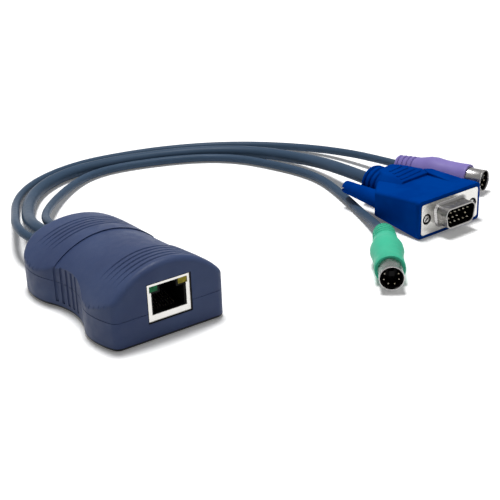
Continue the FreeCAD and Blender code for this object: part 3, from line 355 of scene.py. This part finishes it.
def seamed(form, cut):
    """A shallow V run round the outside of a shell along its parting line."""
    bmesh.ops.bisect_plane(form, geom=form.verts[:] + form.edges[:] + form.faces[:], dist=1e-7,
                           plane_co=(0, 0, cut), plane_no=(0, 0, 1))
    inward = {}
    for face in form.faces:
        centre = face.calc_center_median()
        across = Vector((face.normal.x, face.normal.y, 0))
        if abs(face.normal.z) < 0.3 and across.dot((centre.x, centre.y, 0)) > 0.4 * centre.xy.length:
            for corner in face.verts:
                if abs(corner.co.z - parting) < 1e-6:
                    inward.setdefault(corner, []).append(across.normalized())
    for corner, normals in inward.items():
        corner.co -= sum(normals, Vector()) / len(normals) * seam_depth
    return form


def ribs_softened(form):
    """The grip grooves made into soft hollows: they keep most of their depth in the middle, and fade
    out towards the flanks."""
    floors = {}
    for face in form.faces:
        centre = face.calc_center_median()
        for row in rib_rows:
            if abs(centre.y - row) < 0.5 * MM and face.normal.z > 0.15 and abs(face.normal.y) < 0.5:
                for corner in face.verts:
                    floors[corner] = row
    reach = {row: max(abs(corner.co.x) for corner in floors if floors[corner] == row)
             for row in set(floors.values())}
    for corner, row in floors.items():
        if abs(corner.co.x) > reach[row] - 0.4 * MM:
            continue
        fade = min(1.0, max(0.0, (rib_fade_from - abs(corner.co.x)) / rib_fade_over))
        corner.co.z += rib_depth * (1.0 - rib_kept * fade)
        corner.co.y += rib_lean * fade * (1 if corner.co.y < row else -1)
    return form


top_shell = seamed(ribs_softened(merged("case_top")), parting + seam_reach)
piece("case_top_dressed", smoothed(top_shell, crease=20.0), case_blue, replaced=["case_top"])
bottom_shell = seamed(merged("case_bottom"), parting - seam_reach)
piece("case_bottom_dressed", smoothed(bottom_shell), case_blue, replaced=["case_bottom"])
dressed("cable_gland", cable_vinyl)


def rounded_ring(form, left, right, level, reach, front, rear):
    """A closed collar, rounded at both sides, with its rear edge rolled over."""
    made = bmesh.ops.create_circle(form, segments=40, radius=reach * MM, cap_ends=True,
                                   matrix=Matrix.Rotation(math.radians(90.0), 4, "X"))["verts"]
    for corner in made:
        corner.co.x += (right if corner.co.x > 0 else left) * MM
        corner.co.z += level * MM
        corner.co.y = front * MM
    cap = [face for face in form.faces if set(face.verts) == set(made)]
    grown = bmesh.ops.extrude_face_region(form, geom=cap, use_keep_orig=True)["geom"]
    crown = [part for part in grown if isinstance(part, bmesh.types.BMVert)]
    bmesh.ops.translate(form, vec=(0, (rear - front) * MM, 0), verts=crown)
    roll = [line for line in form.edges if line.verts[0] in crown and line.verts[1] in crown]
    bmesh.ops.bevel(form, geom=roll, offset=0.7 * MM, affect="EDGES", segments=4, profile=0.5, material=-1)
    bmesh.ops.recalc_face_normals(form, faces=form.faces)
    return form


# The gland's visible end: a wide collar and a narrower one behind it, round all three leads.
collar = rounded_ring(bmesh.new(), left=-10.4, right=1.2, level=12.2, reach=4.3, front=34.2, rear=37.4)
rounded_ring(collar, left=-10.0, right=0.9, level=12.1, reach=3.4, front=37.0, rear=41.0)
piece("cable_gland_collar", smoothed(collar), cable_vinyl)


# ---------------------------------------------------------------- network socket
# A stamped and plated shield round a black nylon socket with eight gold spring wires and two
# clear light pipes in its upper corners.
def gold_flash(name, base, worn):
    """A thin gold flash over nickel, worn in places."""
    finish = Finish(name, 0.3, metallic=1.0)
    wear = finish.noise(900.0, 3.0)
    finish.colour(finish.mix(finish.window(wear, 0.35, 0.7), shade(base), shade(worn)))
    finish.feed("Roughness", finish.window(wear, 0.3, 0.7, 0.24, 0.36))
    return finish.material


def lens_tint(name, base, pale):
    """Clear tinted plastic, its colour deeper in patches."""
    finish = Finish(name, 0.25, Specular_IOR_Level=0.15)
    depth = finish.noise(500.0, 2.0)
    finish.colour(finish.mix(finish.window(depth, 0.35, 0.65), shade(base), shade(pale)))
    finish.bump(depth, 0.00002, 0.3)
    return finish.material


nickel = plated("nickel", "D8D6D2", 0.3)
shell_nickel = plated("shell_nickel", "B4B2B1", 0.26, scale=300.0, relief=0.08)
# Painted shade: a darker copy of the bright nickel, for the drawn part of the screen plug's shell.
nickel_painted_dark = plated("nickel_painted_dark", "9C9A98", 0.3, scale=300.0)
black_nylon = nylon("black_nylon", "060607", "0C0C0E")
gold = gold_flash("gold_flash", "B5AC94", "CFCAC0")
# Painted shade: a near-black copy of the gold flash, for the pin shafts deep in their shells.
shaded_pin_gold = gold_flash("shaded_pin_gold", "1F1B14", "2A261E")
dressed("rj45_shield", nickel)

# Painted shade: four thin black bars in the gap between the shield and the case stand for the shade in it.
gap_outer = 8.44
gap_inner = 8.13
gap_foot = 6.34
gap_sill = 6.64
gap_lintel = 20.0
gap_head = 20.3
gap_front = -34.85
gap_rear = -33.9
gap_shade_bars = bmesh.new()
for left, right, low, high in ((-gap_outer, -gap_inner, gap_foot, gap_head),
                               (gap_inner, gap_outer, gap_foot, gap_head),
                               (-gap_outer, gap_outer, gap_foot, gap_sill),
                               (-gap_outer, gap_outer, gap_lintel, gap_head)):
    slab(gap_shade_bars, *[[(left, along, low), (right, along, low), (right, along, high), (left, along, high)]
                   for along in (gap_front, gap_rear)])
piece("socket_gap_shade", gap_shade_bars, black_nylon)
dressed("rj45_housing", black_nylon)
dressed("rj45_contacts", gold)
dressed("led_green", lens_tint("green_lens", "00512C", "00693A"))
dressed("led_yellow", lens_tint("yellow_lens", "7F7416", "94871F"))


# ---------------------------------------------------------------- circuit board
# A two-layer board with its chips, crystal, capacitors and wire headers, shut inside the housing.
def solder_mask():
    """Green lacquer over paler copper tracks."""
    finish = Finish("solder_mask", 0.3, Coat_Weight=0.3)
    tracks = finish.add("TexVoronoi", {"distance": "MANHATTAN", "feature": "DISTANCE_TO_EDGE"},
                        Vector=finish.place, Scale=420.0)
    cloud = finish.noise(90.0)
    base = finish.mix(finish.window(cloud, 0.3, 0.7), shade("0A4A2A"), shade("0E5532"))
    raised = finish.window(tracks, 0.05, 0.12, 1.0, 0.0)
    finish.colour(finish.mix(raised, base, shade("1C7A4A")))
    finish.bump(raised, 0.00003, 0.6)
    return finish.material


def screw_zinc():
    """Zinc plating, mottled by its bath."""
    finish = Finish("screw_zinc", 0.34, metallic=1.0)
    swirl = finish.noise(1400.0, 3.0)
    finish.colour(finish.mix(finish.window(swirl, 0.3, 0.7), shade("A9A8A6"), shade("C9C8C6")))
    finish.feed("Roughness", finish.window(swirl, 0.3, 0.7, 0.26, 0.42))
    finish.bump(swirl, 0.00001, 0.5)
    return finish.material


zinc = screw_zinc()
white_nylon = nylon("white_nylon", "DAD6CC", "E8E4DA", 0.45)
epoxy = nylon("chip_epoxy", "1A1A1C", "242427", 0.55)
board_finishes = {
    "circuit_board": solder_mask(), "controller_chip": epoxy, "interface_chip": epoxy,
    "memory_chip": epoxy, "crystal": nickel, "capacitors": plated("capacitor_can", "C9CBCE", 0.35),
    "case_screws": zinc, "video_header": white_nylon, "keyboard_header": white_nylon,
    "mouse_header": white_nylon,
}
for node, material in board_finishes.items():
    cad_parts[node].data.materials.clear()
    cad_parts[node].data.materials.append(material)


# ---------------------------------------------------------------- screen plug
# A blue overmoulded hood round a fifteen-way plug: plated flange and D-shaped shell, black
# insulator, gilt pins, and two jackscrews with plastic grips, 12.5 mm to either side.
hood_vinyl = vinyl("hood_vinyl", "003788", "00307E", "003C90", roughness=0.55, gloss=0.0)
vga_turn = Matrix.Rotation(math.radians(2.25), 4, "Z") @ Matrix.Rotation(math.radians(0.9), 4, "X")
vga_place = Matrix.Translation((0.1303, -0.0289, 0.00765)) @ vga_turn
screw_reach = 12.5

# The hood's raised right rim, and the rising saddle with its cross ridges behind the sunk panel.
rim_base = [(9.8, 7.8, 4.9), (16.3, 7.8, 4.9), (16.2, 25.0, 4.0), (13.4, 27.6, 4.0), (11.2, 22.4, 4.9)]
rim_top = [(9.7, 7.9, 7.0), (16.0, 7.9, 7.0), (15.5, 24.8, 6.72), (13.0, 27.2, 6.67), (11.0, 22.6, 6.77)]
saddle_base = [(-6.8, 22.0, 3.8), (11.6, 22.6, 3.8), (13.3, 27.2, 3.8), (9.6, 36.2, 3.8),
               (6.9, 39.4, 3.0), (-2.8, 38.4, 3.0), (-6.6, 33.0, 3.8)]
saddle_top = [(-2.9, 22.2, 6.6), (11.2, 23.0, 6.62), (12.7, 27.2, 6.74), (9.0, 36.0, 6.98),
              (6.2, 38.9, 7.05), (-1.4, 37.9, 7.03), (-3.4, 33.4, 6.91)]
ridge_half = 0.6
ridge_foot = 6.3
ridge_top = 6.35
ridge_climb = 0.028
shoulder = slab(bmesh.new(), rim_base, rim_top, edge=0.4)
slab(shoulder, saddle_base, saddle_top, edge=0.4)
for near, far in (((-2.6, 24.2), (10.2, 26.0)), ((-1.8, 27.2), (9.6, 29.0)), ((-0.9, 30.2), (8.6, 31.7)),
                  ((-0.1, 33.2), (7.6, 34.4))):
    run = Vector((far[0] - near[0], far[1] - near[1]))
    half = Vector((-run.y, run.x)).normalized() * ridge_half
    corners = [(near[0] - half.x, near[1] - half.y), (far[0] - half.x, far[1] - half.y),
               (far[0] + half.x, far[1] + half.y), (near[0] + half.x, near[1] + half.y)]
    slab(shoulder, [(x, y, ridge_foot) for x, y in corners],
         [(x, y, ridge_top + ridge_climb * y) for x, y in corners], edge=0.28)
hood_shoulder = piece("vga_hood_shoulder", smoothed(shoulder), hood_vinyl, place=vga_place)

# The soft neck that keeps the lead from kinking, with four grooves for bending.
neck_outline = [(0, 31.0), (6.75, 31.0)]
for groove, wide in ((33.0, 6.8), (35.6, 6.85), (38.2, 6.95), (40.8, 7.05)):
    neck_outline += [(wide, groove - 0.7), (wide - 0.25, groove - 0.45), (wide - 0.75, groove - 0.25),
                     (wide - 0.75, groove + 0.25), (wide - 0.25, groove + 0.45), (wide, groove + 0.7)]
neck_outline += [(7.0, 41.8), (6.7, 42.6), (5.9, 43.2), (4.2, 43.55), (2.9, 43.6), (0, 43.6)]
neck = turned(bmesh.new(), neck_outline)
hood_neck = piece("vga_hood_neck", smoothed(neck, crease=30.0), hood_vinyl, place=vga_place)


def inner_shade_sheet(name, node, place, front, rear):
    """A thin black sheet just inside a plug's shell, taken from the shell's inner wall: painted shade for
    the inside of the shell.
    """
    shrink = 0.985
    thickness = 0.12 * MM
    form = merged(node)
    bmesh.ops.transform(form, matrix=place.inverted(), verts=form.verts)
    form.normal_update()
    kept = []
    for face in form.faces:
        centre = face.calc_center_median()
        outward = Vector((centre.x, 0, centre.z))
        inner = face.normal.dot(outward) < -0.3 * outward.length and abs(face.normal.y) < 0.2
        if inner and max(corner.co.y for corner in face.verts) < rear:
            kept.append(face)
    spare = [face for face in form.faces if face not in set(kept)]
    bmesh.ops.delete(form, geom=spare, context="FACES")
    for corner in form.verts:
        corner.co.x *= shrink
        corner.co.z *= shrink
        if corner.co.y < front:
            corner.co.y = front
    bmesh.ops.solidify(form, geom=form.faces[:], thickness=thickness)
    bmesh.ops.recalc_face_normals(form, faces=form.faces)
    return piece(name, smoothed(form), black_nylon, place=place)


def shell_lip(form, front, rise):
    """The rolled front rim of a drawn shell: its flat edge set back, then raised to a rounded lip."""
    rim = [face for face in form.faces if face.normal.y < -0.9
           and all(corner.co.y < front + 0.05 * MM for corner in face.verts)]
    for corner in {corner for face in rim for corner in face.verts}:
        corner.co.y += rise
    bmesh.ops.inset_region(form, faces=rim, thickness=rise * 1.1, depth=rise, use_even_offset=True,
                           use_boundary=True)
    return form


# Black bushes line the two screw holes.
bush_outline = [(1.5, 0.15), (2.18, 0.15), (2.18, 0.5), (1.5, 0.5), (1.5, 0.15)]
bushes = bmesh.new()
for across in (-screw_reach, screw_reach):
    bush = turned(bmesh.new(), bush_outline, 40)
    bmesh.ops.translate(bush, vec=(across * MM, 0, 0), verts=bush.verts)
    loose = bpy.data.meshes.new("bush")
    bush.to_mesh(loose)
    bush.free()
    bushes.from_mesh(loose)
    bpy.data.meshes.remove(loose)
screw_bushes = piece("vga_screw_bushes", smoothed(bushes), black_nylon, place=vga_place)

# The drawn shell: rolled lip, wide screw holes and four spring dimples above and below. Its drawn part
# takes a darker copy of the flange's bright nickel, painted shade.
hole_radius = 2.2 * MM
flange_front = -0.4 * MM
dimple = Matrix.Diagonal((0.9, 1.7, 0.2, 1.0))
shell = merged("vga_shell")
bmesh.ops.transform(shell, matrix=vga_place.inverted(), verts=shell.verts)
for corner in shell.verts:
    for across in (-screw_reach, screw_reach):
        off = Vector((corner.co.x - across * MM, 0, corner.co.z))
        if off.length < hole_radius + 0.1 * MM:
            corner.co += off.normalized() * (hole_radius - off.length)
shell.normal_update()
shell_lip(shell, front=-6.3 * MM, rise=0.14 * MM)
for across in (-4.2, -1.4, 1.4, 4.2):
    for level in (4.05, -4.05):
        bmesh.ops.create_uvsphere(shell, u_segments=24, v_segments=16, radius=1.0 * MM,
                                  matrix=Matrix.Translation(Vector((across, -2.9, level)) * MM) @ dimple)
# The flange takes the bright nickel; the rest keeps the darker, painted-shade copy.
for face in shell.faces:
    if face.calc_center_median().y > flange_front:
        face.material_index = 1
vga_shell = piece("vga_shell_dressed", smoothed(shell), nickel_painted_dark, place=vga_place,
                  replaced=["vga_shell"])
vga_shell.data.materials.append(nickel)

# The bend where the drawn shell rises out of its flange: its outline grows in four steps.
skirt_wide = 8.45
skirt_narrow = 6.99
skirt_tall = 4.15
skirt_step = 0.25
skirt = bmesh.new()
corners = [skirt.verts.new(corner) for corner in
           in_mm([(-skirt_wide, -1.0, skirt_tall), (skirt_wide, -1.0, skirt_tall),
                  (skirt_narrow, -1.0, -skirt_tall), (-skirt_narrow, -1.0, -skirt_tall)])]
bend = skirt.faces.new(corners)
bmesh.ops.bevel(skirt, geom=corners, offset=2.6 * MM, affect="VERTICES", segments=7, profile=0.5,
                material=-1)
bend = skirt.faces[:]
for grow, forward in ((0.08, 0.2), (0.3, 0.22), (0.75, 0.16), (1.3, 0.06)):
    grown = bmesh.ops.extrude_face_region(skirt, geom=bend)["geom"]
    bmesh.ops.delete(skirt, geom=bend, context="FACES_ONLY")
    bend = [part for part in grown if isinstance(part, bmesh.types.BMFace)]
    rim = [part for part in grown if isinstance(part, bmesh.types.BMVert)]
    wide = skirt_wide + grow
    tall = skirt_tall + grow
    bmesh.ops.scale(skirt, vec=(wide / (wide - skirt_step), 1.0, tall / (tall - skirt_step)), verts=rim)
    bmesh.ops.translate(skirt, vec=(0, forward * MM, 0), verts=rim)
bmesh.ops.recalc_face_normals(skirt, faces=skirt.faces)
vga_skirt = piece("vga_shell_skirt", smoothed(skirt, crease=50.0), shell_nickel,
                  place=vga_place)


def tipped_pins(node, place, tip):
    """Contact pins, bright gold at their tips, their shafts in a near-black copy of the gold: painted shade
    deep in the shell.
    """
    form = merged(node)
    bmesh.ops.bisect_plane(form, geom=form.verts[:] + form.edges[:] + form.faces[:], dist=1e-8,
                           plane_co=place @ Vector((0, tip, 0)),
                           plane_no=place.to_3x3() @ Vector((0, 1, 0)))
    back_to_plug = place.inverted()
    for face in form.faces:
        # Faces further back than the tip take the second material, the painted shade.
        face.material_index = int((back_to_plug @ face.calc_center_median()).y > tip)
    made = piece(node + "_dressed", smoothed(form), gold, replaced=[node])
    made.data.materials.append(shaded_pin_gold)
    return made


plug_pieces = [dressed("vga_hood", hood_vinyl), hood_shoulder, hood_neck,
               vga_shell, vga_skirt, screw_bushes,
               inner_shade_sheet("vga_liner", "vga_shell", vga_place, front=-5.6 * MM, rear=1.5 * MM),
               dressed("vga_insulator", black_nylon),
               tipped_pins("vga_pins", vga_place, tip=-4.5 * MM)]


def jackscrew(hand, across):
    """A number four screw with twelve thread rings and a slot across its tip."""
    crest = 1.42
    root = 1.1
    pitch = 0.635
    slot_half = 0.35
    slot_depth = 0.9
    outline = [(0, -0.25), (1.15, -0.25)]
    for turn in range(12):
        outline += [(crest, -0.05 + turn * pitch), (crest, 0.1 + turn * pitch),
                    (root, 0.27 + turn * pitch), (root, 0.35 + turn * pitch)]
    outline += [(crest, 7.75), (crest, 30.0), (0, 30.0)]
    form = turned(bmesh.new(), outline, 40)
    for cut in (-slot_half, slot_half):
        bmesh.ops.bisect_plane(form, geom=form.verts[:] + form.edges[:] + form.faces[:], dist=1e-8,
                               plane_co=(0, 0, cut * MM), plane_no=(0, 0, 1))
    tip = [face for face in form.faces if all(corner.co.y < -0.24 * MM for corner in face.verts)
           and abs(face.calc_center_median().z) < slot_half * MM]
    deep = bmesh.ops.extrude_face_region(form, geom=tip)
    bmesh.ops.delete(form, geom=tip, context="FACES")
    bmesh.ops.translate(form, vec=(0, slot_depth * MM, 0),
                        verts=[made for made in deep["geom"] if isinstance(made, bmesh.types.BMVert)])
    bmesh.ops.recalc_face_normals(form, faces=form.faces)
    bmesh.ops.rotate(form, cent=(0, 0, 0), matrix=Matrix.Rotation(math.radians(-35.0), 3, "Y"),
                     verts=form.verts)
    bmesh.ops.translate(form, vec=(across * MM, 0, 0), verts=form.verts)
    node = f"thumbscrew_{hand}_shaft"
    return piece(node + "_threaded", smoothed(form, crease=25.0), zinc, f"thumbscrew_{hand}",
                 replaced=[node], place=vga_place)


for hand, across in (("left", -screw_reach), ("right", screw_reach)):
    plug_pieces.append(jackscrew(hand, across))
    plug_pieces.append(dressed(f"thumbscrew_{hand}_grip", hood_vinyl, f"thumbscrew_{hand}"))


# ---------------------------------------------------------------- keyboard and mouse plugs
# Round plugs with a soft moulded boot, a plated ring, a black insulator with six pins and a key. An
# outline's points are (radius, distance along the plug).
boot_profile = [
    (4.25, 6.0), (4.25, 0.3), (4.6, 0.22), (5.15, 0.0), (5.4, 0.08), (5.54, 0.35), (5.58, 0.9), (5.6, 2.4),
    (5.5, 3.4), (5.5, 7.0), (5.55, 9.5), (5.6, 12.0), (5.6, 15.0), (5.5, 18.0), (5.15, 21.0), (4.75, 23.2),
    (4.65, 24.2)]
for groove in (25.3, 27.5, 29.7, 31.9):
    slope = 4.72 - (groove - 25.3) * 0.06
    boot_profile += [(slope, groove - 0.62), (slope - 0.18, groove - 0.45),
                     (slope - 0.62, groove - 0.25), (slope - 0.62, groove + 0.25),
                     (slope - 0.2, groove + 0.45), (slope - 0.04, groove + 0.62)]
boot_profile += [(4.15, 33.1), (3.7, 33.75), (2.9, 34.0), (1.7, 34.0), (1.5, 32.0), (0.0, 32.0)]
shell_profile = [
    (4.1, 6.0), (4.1, -6.75), (4.2, -6.97), (4.38, -7.0), (4.5, -6.85), (4.5, -6.1), (4.42, -5.85),
    (4.36, -5.6), (4.36, -1.2), (4.42, -0.7), (4.5, -0.3), (4.5, 6.0)]
plug_places = {
    "keyboard": Matrix.Translation((0.1661, -0.0039, 0.0056)) @ Matrix.Rotation(math.radians(19.0), 4, "Z"),
    "mouse": Matrix.Translation((0.0796, -0.0519, 0.0056)) @ Matrix.Rotation(math.radians(-37.5), 4, "Z")}


def moulded_boot(kind, skin):
    """The boot: recessed mouth, a middle swollen at both sides and on top, and four bending rings."""
    swell_middle = 16.5
    swell_reach = 3.4
    swell_height = 0.13
    top_share = 0.9
    form = turned(bmesh.new(), [(0.0, 6.0)] + boot_profile, 72)
    for corner in form.verts:
        along = corner.co.y / MM
        swell = math.exp(-((along - swell_middle) / swell_reach) ** 2) * swell_height
        radius = math.hypot(corner.co.x, corner.co.z)
        sideways = abs(corner.co.x) / radius if radius > 1e-7 else 0.0
        corner.co.x *= 1.0 + swell * sideways ** 2
        if corner.co.z > 0.0:
            corner.co.z *= 1.0 + top_share * swell
    return piece(f"{kind}_boot_moulded", smoothed(form, crease=42.0), skin, replaced=[f"{kind}_boot"],
                 place=plug_places[kind])


def drawn_shell(kind):
    """The drawn round shell: a rolled lip, and the step where it was pressed into the boot."""
    form = turned(bmesh.new(), shell_profile + shell_profile[:1], 72)
    return piece(f"{kind}_shell_drawn", smoothed(form, crease=30.0), shell_nickel,
                 replaced=[f"{kind}_shell"], place=plug_places[kind])


purple_vinyl = vinyl("purple_vinyl", "8074B2", "786CA9", "8E84BF")
green_vinyl = vinyl("green_vinyl", "43B894", "3DAE8B", "56C4A2")
boots = {"keyboard": ("purple_boot", purple_vinyl, keyboard_lead, 0.2848, keyboard_route),
         "mouse": ("green_boot", green_vinyl, mouse_lead, 0.2862, mouse_route)}
for kind, (slot, skin, lead, length, route) in boots.items():
    parts = [moulded_boot(kind, skin), drawn_shell(kind),
             inner_shade_sheet(f"{kind}_liner", f"{kind}_shell", plug_places[kind], front=-6.4 * MM, rear=6.5 * MM),
             dressed(f"{kind}_insulator", black_nylon),
             tipped_pins(f"{kind}_pins", plug_places[kind], tip=-5.3 * MM)]
    [c * MM for c in route[0]]


# ---------------------------------------------------------------- studio
# A white sheet under soft light from above, and a white surround for the metal to mirror.
def seen_white(tree):
    """1 where the camera, a mirror image or glass looks, 0 where light falls."""
    path = tree.nodes.new("ShaderNodeLightPath")
    direct = Signal(tree, path.outputs["Is Camera Ray"])
    glossy = Signal(tree, path.outputs["Is Glossy Ray"])
    through = Signal(tree, path.outputs["Is Transmission Ray"])
    looks = direct + glossy + through
    return looks.maths("MINIMUM", looks, 1.0)


def ramp(tree, source, near, far, low, high):
    """From low to high as the source goes from near to far."""
    node = tree.nodes.new("ShaderNodeMapRange")
    for number, value in enumerate((near, far, low, high)):
        node.inputs[number + 1].default_value = value
    tree.links.new(source, node.inputs[0])
    return Signal(tree, node.outputs[0])


world = bpy.data.worlds.new("surround")
bpy.context.scene.world = world
world.use_nodes = True
tree = world.node_tree
soft = tree.nodes["Background"]
soft.inputs["Color"].default_value = (1.0, 1.0, 1.0, 1.0)
soft.inputs["Strength"].default_value = 0.22
white = tree.nodes.new("ShaderNodeBackground")
direction = tree.nodes.new("ShaderNodeSeparateXYZ")
tree.links.new(tree.nodes.new("ShaderNodeTexCoord").outputs["Generated"], direction.inputs[0])
overhead = ramp(tree, direction.outputs["Z"], near=0.06, far=0.4, low=0.0, high=0.5)
mirror = Signal(tree, tree.nodes.new("ShaderNodeLightPath").outputs["Is Glossy Ray"])
tree.links.new((1.0 - mirror * overhead).socket, white.inputs["Strength"])
blend = tree.nodes.new("ShaderNodeMixShader")
tree.links.new(seen_white(tree).socket, blend.inputs[0])
tree.links.new(soft.outputs[0], blend.inputs[1])
tree.links.new(white.outputs[0], blend.inputs[2])
tree.links.new(blend.outputs[0], tree.nodes["World Output"].inputs[0])

sheet = bmesh.new()
bmesh.ops.create_grid(sheet, x_segments=4, y_segments=4, size=3.0)
bmesh.ops.translate(sheet, verts=sheet.verts, vec=(0, 0, -0.0002))
floor_mesh = bpy.data.meshes.new("floor")
sheet.to_mesh(floor_mesh)
sheet.free()
floor = bpy.data.objects.new("floor", floor_mesh)
bpy.context.scene.collection.objects.link(floor)
paper = bpy.data.materials.new("white_paper")
paper.use_nodes = True
tree = paper.node_tree
tree.nodes.remove(tree.nodes["Principled BSDF"])
matte = tree.nodes.new("ShaderNodeBsdfDiffuse")
glow = tree.nodes.new("ShaderNodeEmission")
blend = tree.nodes.new("ShaderNodeAddShader")
seen = seen_white(tree)
tree.links.new((seen * 0.18 + 0.8).socket, matte.inputs["Color"])
spread = tree.nodes.new("ShaderNodeVectorMath")
spread.operation = "LENGTH"
tree.links.new(tree.nodes.new("ShaderNodeTexCoord").outputs["Object"], spread.inputs[0])
outward = ramp(tree, spread.outputs["Value"], near=0.3, far=1.1, low=0.1, high=0.9)
tree.links.new((seen * outward).socket, glow.inputs["Strength"])
tree.links.new(matte.outputs[0], blend.inputs[0])
tree.links.new(glow.outputs[0], blend.inputs[1])
tree.links.new(blend.outputs[0], tree.nodes["Material Output"].inputs[0])
floor_mesh.materials.append(paper)


def lamp(name, place, target, size, power):
    """A round soft light that faces its target."""
    light = bpy.data.lights.new(name, "AREA")
    light.shape = "DISK"
    light.size = size
    light.energy = power
    holder = bpy.data.objects.new(name, light)
    bpy.context.scene.collection.objects.link(holder)
    aim = (Vector(target) - Vector(place)).normalized()
    holder.matrix_world = Matrix.Translation(place) @ aim.to_track_quat("-Z", "Y").to_matrix().to_4x4()


lamp("top_lamp", (0.1, 0.16, 1.1), target=(0.06, 0.02, 0.0), size=0.32, power=12.8)
lamp("front_lamp", (0.35, -1.0, 0.6), target=(0.06, 0.0, 0.0), size=0.6, power=1.0)

bpy.context.scene.view_settings.view_transform = "Standard"
